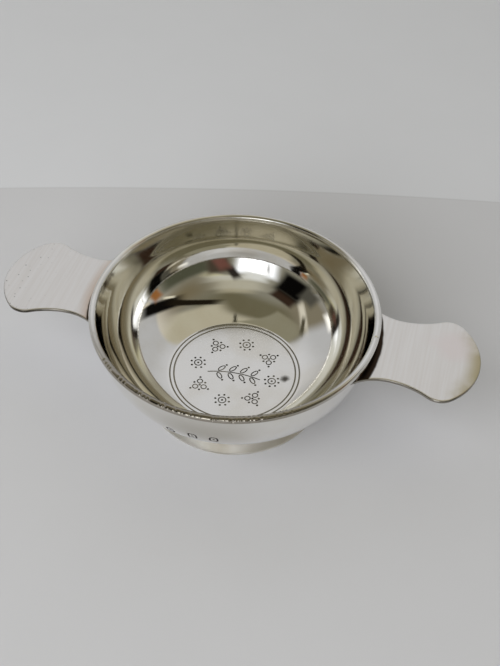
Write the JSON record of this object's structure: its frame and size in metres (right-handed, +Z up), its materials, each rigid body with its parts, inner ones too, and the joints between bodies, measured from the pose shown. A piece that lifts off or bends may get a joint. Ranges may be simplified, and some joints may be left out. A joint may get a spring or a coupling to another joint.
{
  "type": "quaich",
  "caption": "Shallow silver drinking cup with flat waisted lugs, a wired rim, a spreading collet foot and an engraved double ring around its flat floor.",
  "frame": {"origin": "centre of the foot, on the surface that it stands on", "axes": "+Z up out of the bowl's mouth, +X along the lugs towards right_lug, +Y away from the picture's side"},
  "size_m": [0.149, 0.0882, 0.0358],
  "materials": {
    "bowl_silver": "polished silver with fine scratches",
    "rim_silver": "polished silver, worn bright",
    "foot_silver": "polished silver with light tarnish",
    "lug_silver": "satin silver with cross lines",
    "solder": "dull silver solder with firestain"
  },
  "bodies": {
    "root": {"bowl": "bowl_silver", "rim_wire": "rim_silver", "foot_ring": "foot_silver", "left_lug": "lug_silver", "right_lug": "lug_silver", "rim_solder": "solder", "foot_solder": "solder", "left_lug_solder": "solder", "right_lug_solder": "solder"}
  },
  "joints": []
}
